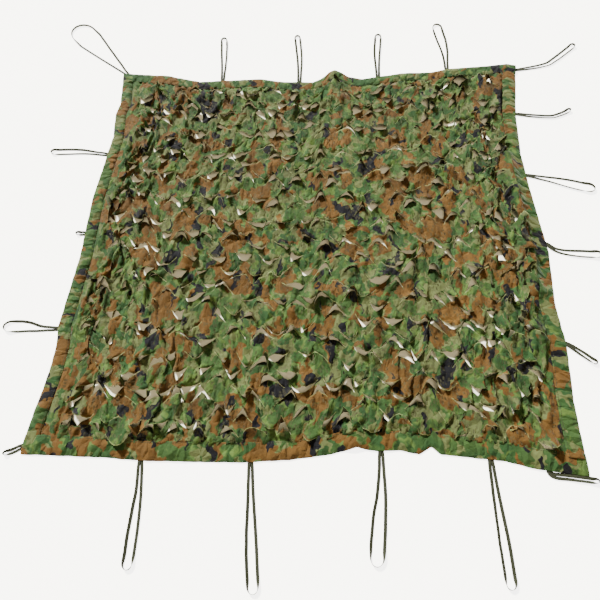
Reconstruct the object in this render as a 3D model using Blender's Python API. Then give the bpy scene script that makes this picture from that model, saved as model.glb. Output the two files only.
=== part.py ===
"""A leaf-cut camouflage net, laid out flat, with its binding and its tape ties.

Metres, +Z up. The net lies on Z = 0, +X runs across it and +Y towards its far edge.
The origin is the middle of the bound net, on the surface that it lies on.
"""

import math
import random
from collections import namedtuple

import bmesh
import bpy
import numpy as np
from mathutils import Vector
from mathutils.geometry import delaunay_2d_cdt

# The cloth
HALF = 1.0  # half the side of the bound net, before its edges are drawn in
BINDING = 0.060  # width of the strips that bind the four edges
CLOTH_THICK = 0.002
BINDING_THICK = 0.003  # a strip folded over the edge of the cloth
FIT = 0.0004  # between pieces that are sewn together
INNER = HALF - BINDING  # half the side of the leaf-cut cloth

# The leaf cuts, in staggered rows. From the near edge on, a row of arched cuts, whose upper
# lip stands up over a leaf that points away, alternates with a row of hanging leaves
COLUMNS = 14
ROWS = 21
SIDE_MARGIN = 0.010  # uncut cloth outside the first and last column
END_MARGIN = 0.015  # and outside the first and last row
PITCH = 2 * (INNER - SIDE_MARGIN) / COLUMNS
ROW_PITCH = 2 * (INNER - END_MARGIN) / ROWS
CUT_HALF_WIDTH = 0.38 * PITCH
WIDTH_SPREAD = 0.12  # the most that a cut is wider or narrower than usual, as a share
LEAN = 0.22  # the most that a leaf leans to one side, as a share of the half width
SLANT = 0.06 * ROW_PITCH  # the most that the ends of a cut stand above or below its middle
BESIDE = 0.55  # where shoulders and haunches stand, as a share of the half width
CUT_RISE = 0.28 * ROW_PITCH  # how far a leaf's shoulders stand above the ends of the cut
CUT_DROP = 0.42 * ROW_PITCH  # how far the lower lip hangs below them
TONGUE_DROP = 0.12 * ROW_PITCH  # the point of the leaf that hangs into the cut
ARCH_RISE = 0.42 * ROW_PITCH  # how far an arched upper lip rises above the ends of its cut
HAUNCH_RISE = 0.72  # how far its haunches rise, as a share of its crown
ARCH_LEAF_RISE = 0.10 * ROW_PITCH  # the point of the leaf that reaches into it from below
LEAF_LIFTS = (0.018, 0.042)  # least and most height of a leaf's point or an arch's crown
ARCH_LEAF_LIFTS = (0.0, 0.010)
SHOULDER_SHARE = 0.30  # height of a leaf's two shoulders, as a share of its point's
HAUNCH_SHARE = 0.55  # height of an arch's two haunches, as a share of its crown's
CUT_END_LIFT = 0.005
UNEVEN_LIFT = 0.014  # height of the necks that don't lie flat
FLAT_SHARE = 0.55  # share of the necks that lie flat on the surface

# The binding
STATION_STEP = 0.048  # between the points along a strip
STATION_APART = 0.016
GATHER_LIFTS = (0.003, 0.013)
GATHER_SHARE = 0.6  # share of the stations where the strip puckers up
SEAM_LIFT = 0.002  # height of the seam between the binding and the cloth

# The tape of the ties
TAPE_WIDTH = 0.012
TAPE_THICK = 0.0015
ROOT_HALF_GAP = 0.004  # half the distance between the two ends of a loop at its root
SIDE_BY_SIDE = 0.0066  # the same where the legs lie flat beside each other
ROOT_LENGTH = 0.045  # over which the legs part
STACKED = TAPE_THICK + FIT  # one leg lies on the other at the root
HELD = 0.015  # half the length of straight edge that holds a root

SHARP_ANGLE = math.radians(25)

Edge = namedtuple("Edge", "along drawn_in")
Fold = namedtuple("Fold", "x0 y0 x1 y1 reach height")
Tie = namedtuple("Tie", "name side along route width flat legs")

# How far the net's edges are drawn in, from the corner at -1 to the corner at +1
TOP_EDGE = [
    Edge(-1.000, 0.000),
    Edge(-0.775, 0.020),
    Edge(-0.585, 0.072),
    Edge(-0.275, 0.060),
    Edge(-0.155, 0.085),
    Edge(-0.005, 0.090),
    Edge(0.100, 0.028),
    Edge(0.240, 0.075),
    Edge(0.435, 0.040),
    Edge(0.580, 0.035),
    Edge(0.675, 0.015),
    Edge(0.960, -0.013),
    Edge(1.000, 0.000),
]
BOTTOM_EDGE = [
    Edge(-1.000, 0.002),
    Edge(-0.700, 0.000),
    Edge(-0.530, -0.008),
    Edge(-0.170, -0.002),
    Edge(-0.015, 0.012),
    Edge(0.115, 0.033),
    Edge(0.220, 0.061),
    Edge(0.290, 0.051),
    Edge(0.370, 0.057),
    Edge(0.437, 0.045),
    Edge(0.480, 0.073),
    Edge(0.510, 0.047),
    Edge(0.730, 0.029),
    Edge(0.840, 0.004),
    Edge(1.000, -0.013),
]
LEFT_EDGE = [
    Edge(-1.000, -0.003),
    Edge(-0.900, 0.000),
    Edge(-0.670, 0.023),
    Edge(-0.560, 0.024),
    Edge(-0.480, 0.010),
    Edge(-0.140, 0.024),
    Edge(0.170, 0.011),
    Edge(0.555, 0.032),
    Edge(0.710, 0.014),
    Edge(0.780, 0.025),
    Edge(1.000, 0.000),
]
RIGHT_EDGE = [
    Edge(-1.000, -0.001),
    Edge(-0.735, 0.008),
    Edge(-0.515, -0.003),
    Edge(-0.335, 0.013),
    Edge(-0.100, 0.002),
    Edge(0.250, 0.035),
    Edge(0.430, 0.047),
    Edge(0.665, 0.040),
    Edge(1.000, 0.000),
]

# Ridges that lift cloth and binding off the surface
FOLDS = [
    Fold(0.100, 0.980, 0.115, 0.800, 0.060, 0.030),
    Fold(0.890, 0.400, 0.925, -0.300, 0.045, 0.028),
    Fold(0.210, -0.930, 0.215, -0.860, 0.050, 0.014),
    Fold(-0.640, 0.160, -0.500, -0.120, 0.070, 0.010),
    Fold(-0.120, -0.420, 0.150, -0.300, 0.080, 0.012),
    Fold(0.360, 0.420, 0.640, 0.300, 0.080, 0.012),
]

# Each tie is a tape doubled into a loop: the side and the place of its root, the points
# along the middle of the loop out to its far end, the loop's width, whether it leaves the
# edge flat or standing on its edge, and the number of steps along a leg
TIES = [
    Tie(
        "tie_top_left_corner", "top", -0.975,
        [(-1.150, 1.190), (-1.345, 1.385)], 0.125, True, 9,
    ),
    Tie(
        "tie_top_1", "top", -0.468,
        [(-0.478, 1.090), (-0.495, 1.258)], 0.028, True, 7,
    ),
    Tie(
        "tie_top_2", "top", -0.074,
        [(-0.080, 1.080), (-0.101, 1.262)], 0.025, True, 7,
    ),
    Tie(
        "tie_top_3", "top", 0.321,
        [(0.318, 1.100), (0.326, 1.255)], 0.028, True, 7,
    ),
    Tie(
        "tie_top_4", "top", 0.663,
        [(0.660, 1.130), (0.630, 1.325)], 0.044, True, 7,
    ),
    Tie(
        "tie_top_right_corner", "right", 0.970,
        [(1.137, 1.000), (1.195, 1.038), (1.305, 1.143)], 0.014, True, 6,
    ),
    Tie(
        "tie_right_1", "right", 0.673,
        [(1.103, 0.650), (1.158, 0.661), (1.215, 0.692)], 0.016, True, 5,
    ),
    Tie(
        "tie_right_2", "right", 0.303,
        [(1.080, 0.268), (1.240, 0.216)], 0.044, True, 7,
    ),
    Tie(
        "tie_right_3", "right", -0.060,
        [(1.029, -0.096), (1.090, -0.112), (1.205, -0.121)], 0.030, True, 6,
    ),
    Tie(
        "tie_right_4", "right", -0.510,
        [(1.050, -0.555), (1.100, -0.600)], 0.016, True, 4,
    ),
    Tie(
        "tie_bottom_right_corner", "bottom", 0.870,
        [(0.885, -1.013), (0.935, -1.018), (1.030, -1.028)], 0.008, False, 5,
    ),
    Tie(
        "tie_bottom_4", "bottom", 0.679,
        [(0.688, -1.130), (0.697, -1.260), (0.703, -1.372)], 0.030, True, 7,
    ),
    Tie(
        "tie_bottom_3", "bottom", 0.304,
        [(0.303, -1.080), (0.293, -1.190), (0.284, -1.323)], 0.044, True, 7,
    ),
    Tie(
        "tie_bottom_2", "bottom", -0.154,
        [(-0.143, -1.137), (-0.127, -1.290), (-0.110, -1.420)], 0.034, True, 7,
    ),
    Tie(
        "tie_bottom_1", "bottom", -0.550,
        [(-0.541, -1.120), (-0.538, -1.230), (-0.536, -1.366)], 0.032, True, 7,
    ),
    Tie(
        "tie_bottom_left_corner", "left", -0.970,
        [(-1.035, -0.985), (-1.068, -0.999)], 0.014, True, 3,
    ),
    Tie(
        "tie_left_3", "left", -0.488,
        [(-1.065, -0.486), (-1.130, -0.479), (-1.219, -0.482)], 0.046, True, 6,
    ),
    Tie(
        "tie_left_2", "left", -0.017,
        [(-1.004, -0.017), (-1.022, -0.018)], 0.014, True, 2,
    ),
    Tie(
        "tie_left_1", "left", 0.443,
        [(-1.100, 0.462), (-1.258, 0.462)], 0.028, True, 5,
    ),
]

# Colour, roughness and metallic value of each kind of piece
FINISHES = {
    "net": ((0.130, 0.190, 0.055), 0.85, 0.0),
    "binding": ((0.115, 0.210, 0.055), 0.85, 0.0),
    "tie": ((0.090, 0.095, 0.050), 0.80, 0.0),
}


def clear_scene():
    for obj in list(bpy.data.objects):
        bpy.data.objects.remove(obj, do_unlink=True)


def smooth(share):
    """0 to 1 with a gentle start and end."""
    share = min(1.0, max(0.0, share))
    return share * share * (3 - 2 * share)


def drawn_in(edge, along):
    return float(np.interp(along, [row.along for row in edge], [row.drawn_in for row in edge]))


def place(across, up):
    """Where a point of the flat square cloth lies, from -1 to +1 both ways."""
    left = -HALF + drawn_in(LEFT_EDGE, up)
    right = HALF - drawn_in(RIGHT_EDGE, up)
    bottom = -HALF + drawn_in(BOTTOM_EDGE, across)
    top = HALF - drawn_in(TOP_EDGE, across)
    x = left + (across + HALF) / (2 * HALF) * (right - left)
    y = bottom + (up + HALF) / (2 * HALF) * (top - bottom)
    return x, y


def fold_height(x, y):
    """Height of the main folds at a place on the surface."""
    height = 0.0
    for fold in FOLDS:
        run = Vector((fold.x1 - fold.x0, fold.y1 - fold.y0))
        from_start = Vector((x - fold.x0, y - fold.y0))
        share = min(1.0, max(0.0, from_start.dot(run) / run.length_squared))
        away = (from_start - share * run).length
        height = max(height, fold.height * smooth(1 - away / fold.reach))
    return height


def cloth_point(across, up, lift):
    x, y = place(across, up)
    return Vector((x, y, fold_height(x, y) + lift))


def finish(name, kind):
    """The material of one piece."""
    colour, roughness, metallic = FINISHES[kind]
    material = bpy.data.materials.new(name)
    material.use_nodes = True
    shader = material.node_tree.nodes["Principled BSDF"]
    shader.inputs["Base Color"].default_value = (*colour, 1.0)
    shader.inputs["Roughness"].default_value = roughness
    shader.inputs["Metallic"].default_value = metallic
    return material


def add_piece(name, kind, shape):
    """Turns a closed bmesh into a named object."""
    bmesh.ops.recalc_face_normals(shape, faces=shape.faces)
    mesh = bpy.data.meshes.new(name)
    shape.to_mesh(mesh)
    shape.free()
    mesh.materials.append(finish(name, kind))
    mesh.shade_smooth()
    mesh.set_sharp_from_angle(angle=SHARP_ANGLE)
    piece = bpy.data.objects.new(name, mesh)
    bpy.context.collection.objects.link(piece)
    return piece


def thicken(shape, height):
    """Makes a closed solid of an open sheet, straight up."""
    upper = bmesh.ops.extrude_face_region(shape, geom=shape.faces[:], use_keep_orig=True)["geom"]
    verts = [item for item in upper if isinstance(item, bmesh.types.BMVert)]
    bmesh.ops.translate(shape, verts=verts, vec=(0, 0, height))


# The binding


def roots(side):
    return [tie.along for tie in TIES if tie.side == side and abs(tie.along) < INNER]


def stations(side):
    """The points along a binding: evenly spaced, but straight where a tie is sewn on."""
    held = [root + way * HELD for root in roots(side) for way in (-1, 1)]
    ends = [way * at for at in (INNER, INNER + BINDING / 2, HALF) for way in (-1, 1)]
    fixed = held + ends
    count = round(2 * INNER / STATION_STEP)
    even = [-INNER + 2 * INNER * step / count for step in range(1, count)]
    free = [at for at in even if min(abs(at - other) for other in fixed) > STATION_APART]
    return sorted(fixed + free), held


def strip_point(side, along, outward):
    """A point of the flat cloth, from how far along a side and out of its middle it is."""
    return {
        "top": (along, outward),
        "bottom": (along, -outward),
        "left": (-outward, along),
        "right": (outward, along),
    }[side]


def make_binding(side):
    rng = random.Random("binding " + side)
    runs, held = stations(side)
    if side in ("left", "right"):
        end = INNER - FIT
        runs = [-end] + [at for at in runs if abs(at) < INNER - STATION_APART] + [end]
    shape = bmesh.new()
    rows = []
    for at in runs:
        puckered = abs(at) < INNER - BINDING and rng.random() < GATHER_SHARE
        middle = rng.uniform(*GATHER_LIFTS) if puckered else 0.0
        outer = 0.0 if at in held else middle * rng.uniform(0.0, 0.8)
        lifts = ((INNER, SEAM_LIFT), (INNER + BINDING / 2, middle), (HALF, outer))
        rows.append(
            [shape.verts.new(cloth_point(*strip_point(side, at, out), lift)) for out, lift in lifts]
        )
    for here, there in zip(rows, rows[1:]):
        for step in range(2):
            shape.faces.new((here[step], here[step + 1], there[step + 1], there[step]))
    bmesh.ops.triangulate(shape, faces=shape.faces)
    thicken(shape, BINDING_THICK)
    add_piece("binding_" + side, "binding", shape)


# The leaf-cut cloth


def border():
    """The outline of the cut cloth, with the stations of the binding around it."""
    edge = INNER - FIT
    inside_corners = {
        side: [at for at in stations(side)[0] if abs(at) < INNER - STATION_APART]
        for side in ("bottom", "right", "top", "left")
    }
    points = [(-edge, -edge)] + [(at, -edge) for at in inside_corners["bottom"]]
    points += [(edge, -edge)] + [(edge, at) for at in inside_corners["right"]]
    points += [(edge, edge)] + [(at, edge) for at in reversed(inside_corners["top"])]
    points += [(-edge, edge)] + [(-edge, at) for at in reversed(inside_corners["left"])]
    return points


def cut_chances(rng):
    """What every cut takes by chance: its half width, its leaf's lean and height, its slant."""
    half = CUT_HALF_WIDTH * rng.uniform(1 - WIDTH_SPREAD, 1 + WIDTH_SPREAD)
    lean = half * rng.uniform(-LEAN, LEAN)
    return half, lean, rng.uniform(*LEAF_LIFTS), rng.uniform(-SLANT, SLANT)


def hanging_cut(x, y, rng):
    """One cut with a hanging leaf: (across, up, lift) of its ends, lower lip, shoulders and point."""
    half, lean, point, slant = cut_chances(rng)
    rise = CUT_RISE * rng.uniform(0.7, 1.3)
    drop = CUT_DROP * rng.uniform(0.75, 1.2)
    shoulder = point * SHOULDER_SHARE
    return [
        (x - half, y - slant, CUT_END_LIFT),
        (x + lean - 0.2 * half, y - drop, 0.0),
        (x + half, y + slant, CUT_END_LIFT),
        (x + BESIDE * half, y + rise, shoulder),
        (x + lean, y - TONGUE_DROP, point),
        (x - BESIDE * half, y + rise, shoulder),
    ]


def arched_cut(x, y, rng):
    """One arched cut: (across, up, lift) of its ends, its lower leaf's point, haunches and crown."""
    half, lean, crown, slant = cut_chances(rng)
    rise = ARCH_RISE * rng.uniform(0.8, 1.2)
    leaf_rise = ARCH_LEAF_RISE * rng.uniform(0.6, 1.4)
    haunch = crown * HAUNCH_SHARE
    return [
        (x - half, y - slant, CUT_END_LIFT),
        (x + 0.5 * lean, y + leaf_rise, rng.uniform(*ARCH_LEAF_LIFTS)),
        (x + half, y + slant, CUT_END_LIFT),
        (x + lean + BESIDE * half, y + HAUNCH_RISE * rise, haunch),
        (x + lean, y + rise, crown),
        (x + lean - BESIDE * half, y + HAUNCH_RISE * rise, haunch),
    ]


def leaf_cuts(rng):
    """The outlines of all cuts, and the neck of cloth above each."""
    cuts = []
    necks = []
    for row in range(ROWS):
        staggered = row % 2
        for column in range(COLUMNS - staggered):
            x = -INNER + SIDE_MARGIN + PITCH * (column + 0.5 + 0.5 * staggered)
            y = -INNER + END_MARGIN + ROW_PITCH * (row + 0.5)
            x += PITCH * rng.uniform(-0.05, 0.05)
            y += ROW_PITCH * rng.uniform(-0.06, 0.06)
            cuts.append(hanging_cut(x, y, rng) if staggered else arched_cut(x, y, rng))
            lift = 0.0 if rng.random() < FLAT_SHARE else rng.uniform(0.3, 1.0) * UNEVEN_LIFT
            if row < ROWS - 1:
                necks.append((x, y + ROW_PITCH, lift))
    return cuts, necks


def inside(x, y, outline):
    """Whether a point lies in a closed outline."""
    odd = False
    for (ax, ay, _), (bx, by, _) in zip(outline, outline[1:] + outline[:1]):
        if (ay > y) != (by > y) and x < ax + (y - ay) * (bx - ax) / (by - ay):
            odd = not odd
    return odd


def make_net():
    cuts, necks = leaf_cuts(random.Random("leaf cuts"))
    loops = [[(x, y, SEAM_LIFT) for x, y in border()]] + cuts
    points = [point for loop in loops for point in loop]
    owners = [index for index, loop in enumerate(loops) for _ in loop]
    edges = []
    start = 0
    for loop in loops:
        edges += [(start + step, start + (step + 1) % len(loop)) for step in range(len(loop))]
        start += len(loop)
    points += necks
    owners += [-1] * len(necks)

    flat = [Vector((x, y)) for x, y, _ in points]
    placed, _, triangles, sources, _, _ = delaunay_2d_cdt(flat, edges, [], 0, 1e-6)
    source = [min(found) for found in sources]
    shape = bmesh.new()
    verts = [shape.verts.new(cloth_point(*points[source[index]])) for index in range(len(placed))]
    for triangle in triangles:
        owner = {owners[source[index]] for index in triangle}
        middle = sum((placed[index] for index in triangle), Vector((0, 0))) / 3
        cut = owner.pop() if len(owner) == 1 else 0
        if cut > 0 and inside(middle.x, middle.y, loops[cut]):
            continue
        shape.faces.new([verts[index] for index in triangle])
    thicken(shape, CLOTH_THICK)
    add_piece("net", "net", shape)


# The ties


def smooth_line(points, steps=16):
    """A smooth curve through a few points, closely sampled."""
    points = [Vector(point) for point in points]
    padded = [2 * points[0] - points[1]] + points + [2 * points[-1] - points[-2]]
    line = []
    for before, start, end, after in zip(padded, padded[1:], padded[2:], padded[3:]):
        for step in range(steps):
            t = step / steps
            line.append(
                0.5
                * (
                    2 * start
                    + (end - before) * t
                    + (2 * before - 5 * start + 4 * end - after) * t**2
                    + (3 * start - before - 3 * end + after) * t**3
                )
            )
    return line + [points[-1]]


def along_line(line, distances):
    """The places at some distances along a line, and its direction there."""
    lengths = [0.0]
    for here, there in zip(line, line[1:]):
        lengths.append(lengths[-1] + (there - here).length)
    found = []
    for distance in distances:
        reach = 0.004
        at, behind, ahead = (
            Vector([float(np.interp(d, lengths, [point[axis] for point in line])) for axis in (0, 1)])
            for d in (distance, distance - reach, distance + reach)
        )
        found.append((at, (ahead - behind).normalized()))
    return found, lengths[-1]


def leg_distances(length, cap, root, steps):
    """Where a leg's sections stand: at its root, evenly along it, and close together round its end."""
    body = [root + (length - cap - root) * step / steps for step in range(steps + 1)]
    return [0.0, 0.5 * root] + body + [length - cap * share for share in (0.55, 0.22, 0.04)]


def loop_route(tie):
    """The sections of a doubled tape: place, direction across the tape in plan, turn and extra height."""
    before, after = (
        Vector(place(*strip_point(tie.side, tie.along + way * HELD, HALF))) for way in (-1, 1)
    )
    edge = (after - before).normalized()
    base = (before + after) / 2
    outward = Vector((edge.y, -edge.x))
    if outward.dot(base) < 0:
        outward.negate()
    base += FIT * outward
    line = smooth_line([base] + tie.route)
    _, length = along_line(line, [0.0])
    half = max(tie.width / 2, SIDE_BY_SIDE if tie.flat else ROOT_HALF_GAP)
    cap = min(max(1.3 * half, 0.012), 0.4 * length)
    root = min(ROOT_LENGTH, 0.35 * length)
    distances = leg_distances(length, cap, root, tie.legs)
    parted = SIDE_BY_SIDE if tie.flat else ROOT_HALF_GAP
    legs = []
    for distance, (at, along) in zip(distances, along_line(line, distances)[0]):
        gap = ROOT_HALF_GAP + (parted - ROOT_HALF_GAP) * smooth(distance / root)
        gap += (half - parted) * smooth((distance - root) / (0.72 * length - root))
        left_in_cap = min(1.0, (length - distance) / cap)
        gap *= math.sqrt(1 - (1 - left_in_cap) ** 2)
        turn = math.pi / 2
        if tie.flat:
            turn *= smooth((distance - root) / (0.45 * length))
        across = Vector((-along.y, along.x))
        if distance == 0.0:
            across = edge if edge.dot(across) > 0 else -edge
        legs.append((at, across, gap, turn, distance))
    stacked = [STACKED * (1 - smooth((leg[4] / root - 1) / 0.6)) if tie.flat else 0.0 for leg in legs]
    out = [(at + across * gap, turn, 0.0) for at, across, gap, turn, _ in legs]
    back = [(at - across * gap, turn, extra) for (at, across, gap, turn, _), extra in zip(legs, stacked)]
    return out + [(line[-1], math.pi / 2, 0.0)] + back[::-1], legs[0][1]


def make_tie(tie):
    route, root_across = loop_route(tie)
    places = [at for at, _, _ in route]
    shape = bmesh.new()
    rings = []
    for index, (at, turn, extra) in enumerate(route):
        behind = places[max(index - 1, 0)]
        ahead = places[min(index + 1, len(places) - 1)]
        along = (ahead - behind).normalized()
        side = Vector((-along.y, along.x, 0))
        if index == 0:
            side = Vector((*root_across, 0))
        if index == len(route) - 1:
            side = Vector((*-root_across, 0))
        up = Vector((0, 0, 1))
        wide = side * math.cos(turn) + up * math.sin(turn)
        thin = up * math.cos(turn) - side * math.sin(turn)
        height = TAPE_WIDTH / 2 * math.sin(turn) + TAPE_THICK / 2 * math.cos(turn) + extra
        middle = Vector((at.x, at.y, height))
        corners = ((1, 1), (-1, 1), (-1, -1), (1, -1))
        rings.append(
            [
                shape.verts.new(middle + wide * w * TAPE_WIDTH / 2 + thin * t * TAPE_THICK / 2)
                for w, t in corners
            ]
        )
    for here, there in zip(rings, rings[1:]):
        for step in range(4):
            after = (step + 1) % 4
            shape.faces.new((here[step], here[after], there[after], there[step]))
    shape.faces.new(rings[0])
    shape.faces.new(rings[-1])
    bmesh.ops.triangulate(shape, faces=shape.faces)
    add_piece(tie.name, "tie", shape)


def main():
    clear_scene()
    make_net()
    for side in ("top", "right", "bottom", "left"):
        make_binding(side)
    for tie in TIES:
        make_tie(tie)


main()
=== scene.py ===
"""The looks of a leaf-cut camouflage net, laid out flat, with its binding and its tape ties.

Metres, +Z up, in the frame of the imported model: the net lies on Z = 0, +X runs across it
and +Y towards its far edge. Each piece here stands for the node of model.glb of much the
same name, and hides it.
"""

import math
from collections import namedtuple

import bpy
import numpy as np
from bpy.props import FloatProperty, FloatVectorProperty, IntProperty, PointerProperty
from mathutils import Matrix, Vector, noise


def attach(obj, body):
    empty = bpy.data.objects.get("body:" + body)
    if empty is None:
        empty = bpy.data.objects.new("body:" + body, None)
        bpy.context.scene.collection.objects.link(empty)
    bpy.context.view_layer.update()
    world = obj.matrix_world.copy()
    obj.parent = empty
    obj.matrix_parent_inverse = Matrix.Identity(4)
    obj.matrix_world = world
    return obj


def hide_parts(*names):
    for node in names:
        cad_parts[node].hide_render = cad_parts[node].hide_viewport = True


bl_info = {
    "name": "Camouflage net",
    "version": (1, 0, 0),
    "blender": (4, 5, 0),
    "location": "View3D > Sidebar > Camouflage net",
    "description": "Leaf-cut camouflage net with a gathered binding and tape ties",
    "category": "Add Mesh",
}

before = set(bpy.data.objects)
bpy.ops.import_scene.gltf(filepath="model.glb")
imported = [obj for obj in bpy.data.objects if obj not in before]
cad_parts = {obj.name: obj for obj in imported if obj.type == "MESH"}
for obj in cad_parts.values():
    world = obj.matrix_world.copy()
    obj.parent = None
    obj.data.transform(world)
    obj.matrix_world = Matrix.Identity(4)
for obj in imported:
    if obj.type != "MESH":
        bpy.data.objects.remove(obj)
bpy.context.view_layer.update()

BODY = "root"

# Lengths are in metres and turns in radians
HALF = 1.0  # half the side of the bound net, before its edges are drawn in
INNER = 0.94  # half the side of the leaf-cut cloth that shows
SEAM = INNER + 0.004  # where the cloth ends, under the binding
TOP = 0.061  # no cloth stands higher than this

Edge = namedtuple("Edge", "along drawn_in")
Fold = namedtuple("Fold", "x0 y0 x1 y1 reach height")
Strip = namedtuple("Strip", "name side width reach seam")
Tie = namedtuple("Tie", "name side along route width")

# How far the net's edges are drawn in, from the corner at -1 to the corner at +1
TOP_EDGE = [
    Edge(-1.000, 0.000), Edge(-0.775, 0.020), Edge(-0.585, 0.072), Edge(-0.275, 0.060),
    Edge(-0.155, 0.085), Edge(-0.005, 0.090), Edge(0.045, 0.062), Edge(0.075, 0.040),
    Edge(0.105, 0.032), Edge(0.140, 0.038), Edge(0.175, 0.056), Edge(0.240, 0.075),
    Edge(0.435, 0.040), Edge(0.580, 0.035), Edge(0.675, 0.015), Edge(0.960, -0.013),
    Edge(1.000, 0.000),
]
BOTTOM_EDGE = [
    Edge(-1.000, 0.002), Edge(-0.700, 0.000), Edge(-0.530, -0.008), Edge(-0.170, -0.002),
    Edge(-0.015, 0.012), Edge(0.115, 0.033), Edge(0.220, 0.061), Edge(0.290, 0.051),
    Edge(0.370, 0.057), Edge(0.437, 0.045), Edge(0.480, 0.073), Edge(0.510, 0.047),
    Edge(0.730, 0.029), Edge(0.840, 0.004), Edge(1.000, -0.013),
]
LEFT_EDGE = [
    Edge(-1.000, -0.003), Edge(-0.900, 0.000), Edge(-0.670, 0.023), Edge(-0.560, 0.024),
    Edge(-0.480, 0.010), Edge(-0.140, 0.024), Edge(0.170, 0.011), Edge(0.555, 0.032),
    Edge(0.710, 0.014), Edge(0.780, 0.025), Edge(1.000, 0.000),
]
RIGHT_EDGE = [
    Edge(-1.000, -0.001), Edge(-0.735, 0.008), Edge(-0.515, -0.003), Edge(-0.335, 0.013),
    Edge(-0.100, 0.002), Edge(0.250, 0.035), Edge(0.430, 0.047), Edge(0.665, 0.040),
    Edge(1.000, 0.000),
]

# Ridges that lift cloth and binding off the surface
FOLDS = [
    Fold(0.100, 0.980, 0.115, 0.800, 0.075, 0.022),
    Fold(0.890, 0.400, 0.925, -0.300, 0.045, 0.028),
    Fold(0.210, -0.930, 0.215, -0.860, 0.050, 0.014),
    Fold(-0.640, 0.160, -0.500, -0.120, 0.070, 0.010),
    Fold(-0.120, -0.420, 0.150, -0.300, 0.080, 0.012),
    Fold(0.360, 0.420, 0.640, 0.300, 0.080, 0.012),
]

# The strips of the binding: how wide each shows, how far along its side it reaches, and
# how high its inner edge stands off the cloth
STRIPS = [
    Strip("binding_left", "left", 0.056, 0.945, -0.0030),
    Strip("binding_right", "right", 0.062, 0.945, 0.0010),
    Strip("binding_top", "top", 0.062, 1.0, 0.0),
    Strip("binding_bottom", "bottom", 0.074, 1.0, 0.0015),
]

# Each tie is a tape doubled into a loop: the side and the place of its root, the points
# along the middle of the loop out to its far end, and the loop's width
TIES = [
    Tie("tie_top_left_corner", "top", -0.985, [(-1.165, 1.190), (-1.345, 1.385)], 0.125),
    Tie("tie_top_1", "top", -0.468, [(-0.478, 1.090), (-0.495, 1.258)], 0.028),
    Tie("tie_top_2", "top", -0.074, [(-0.080, 1.080), (-0.101, 1.262)], 0.025),
    Tie("tie_top_3", "top", 0.321, [(0.318, 1.100), (0.326, 1.255)], 0.028),
    Tie("tie_top_4", "top", 0.663, [(0.660, 1.130), (0.630, 1.325)], 0.044),
    Tie(
        "tie_top_right_corner", "right", 0.970,
        [(1.137, 1.000), (1.195, 1.038), (1.305, 1.143)], 0.024,
    ),
    Tie("tie_right_1", "right", 0.673, [(1.103, 0.650), (1.158, 0.661), (1.215, 0.692)], 0.016),
    Tie("tie_right_2", "right", 0.303, [(1.080, 0.268), (1.240, 0.216)], 0.044),
    Tie("tie_right_3", "right", -0.060, [(1.029, -0.096), (1.090, -0.112), (1.205, -0.121)], 0.030),
    Tie("tie_right_4", "right", -0.510, [(1.050, -0.555), (1.100, -0.600)], 0.016),
    Tie(
        "tie_bottom_right_corner", "bottom", 0.870,
        [(0.885, -1.013), (0.935, -1.018), (1.030, -1.028)], 0.008,
    ),
    Tie(
        "tie_bottom_4", "bottom", 0.679,
        [(0.688, -1.130), (0.697, -1.260), (0.703, -1.372)], 0.030,
    ),
    Tie(
        "tie_bottom_3", "bottom", 0.304,
        [(0.303, -1.080), (0.293, -1.190), (0.284, -1.323)], 0.044,
    ),
    Tie(
        "tie_bottom_2", "bottom", -0.154,
        [(-0.143, -1.137), (-0.127, -1.290), (-0.110, -1.420)], 0.034,
    ),
    Tie(
        "tie_bottom_1", "bottom", -0.550,
        [(-0.541, -1.120), (-0.538, -1.230), (-0.536, -1.366)], 0.032,
    ),
    Tie("tie_bottom_left_corner", "left", -0.970, [(-1.035, -0.985), (-1.068, -0.999)], 0.014),
    Tie(
        "tie_left_3", "left", -0.488,
        [(-1.065, -0.486), (-1.130, -0.479), (-1.219, -0.482)], 0.046,
    ),
    Tie("tie_left_2", "left", -0.017, [(-1.004, -0.017), (-1.022, -0.018)], 0.014),
    Tie("tie_left_1", "left", 0.443, [(-1.100, 0.462), (-1.258, 0.462)], 0.028),
]


def linear(hex_colour):
    """An sRGB hex value as the linear colour that Blender works in."""
    parts = [int(hex_colour[at : at + 2], 16) / 255 for at in (1, 3, 5)]
    return [part / 12.92 if part <= 0.04045 else ((part + 0.055) / 1.055) ** 2.4 for part in parts]


def colour_property(name, description, hex_colour):
    return FloatVectorProperty(
        name=name,
        description=description,
        subtype="COLOR",
        size=3,
        min=0.0,
        max=1.0,
        default=linear(hex_colour),
    )


def length_property(name, description, default):
    return FloatProperty(
        name=name,
        description=description,
        default=default,
        min=0.0,
        precision=4,
        subtype="DISTANCE",
        unit="LENGTH",
    )


class NetSizes(bpy.types.PropertyGroup):
    columns: IntProperty(name="Columns", description="Leaf cuts in a row", default=18, min=2)
    rows: IntProperty(name="Rows", description="Staggered rows of leaf cuts", default=28, min=2)
    cloth_thickness: length_property("Cloth thickness", "Of the leaf-cut cloth", 0.0008)
    binding_thickness: length_property("Binding thickness", "Of the folded strip", 0.0016)
    tape_width: length_property("Tape width", "Across the tape of the ties", 0.012)
    tape_thickness: length_property("Tape thickness", "Of the tape of the ties", 0.0014)
    leaf_curl: length_property("Leaf curl", "How far the liveliest leaves curl up", 0.052)
    pucker: length_property("Pucker", "Height of the gathers in the binding", 0.012)


class NetColours(bpy.types.PropertyGroup):
    leaf_green: colour_property("Leaf green", "Ground colour of the print", "#2B421A")
    pale_green: colour_property("Pale green", "Light blotches of the print", "#4A512B")
    brown: colour_property("Brown", "Brown blotches of the print", "#4D350E")
    black: colour_property("Black", "Dark blotches of the print", "#0C0C0F")
    tape: colour_property("Tape", "Olive drab tape of the ties", "#2C2F1E")
    floor: colour_property("Floor", "Light table and the paper on it", "#F8F5DC")


# Where the cloth lies


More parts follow.
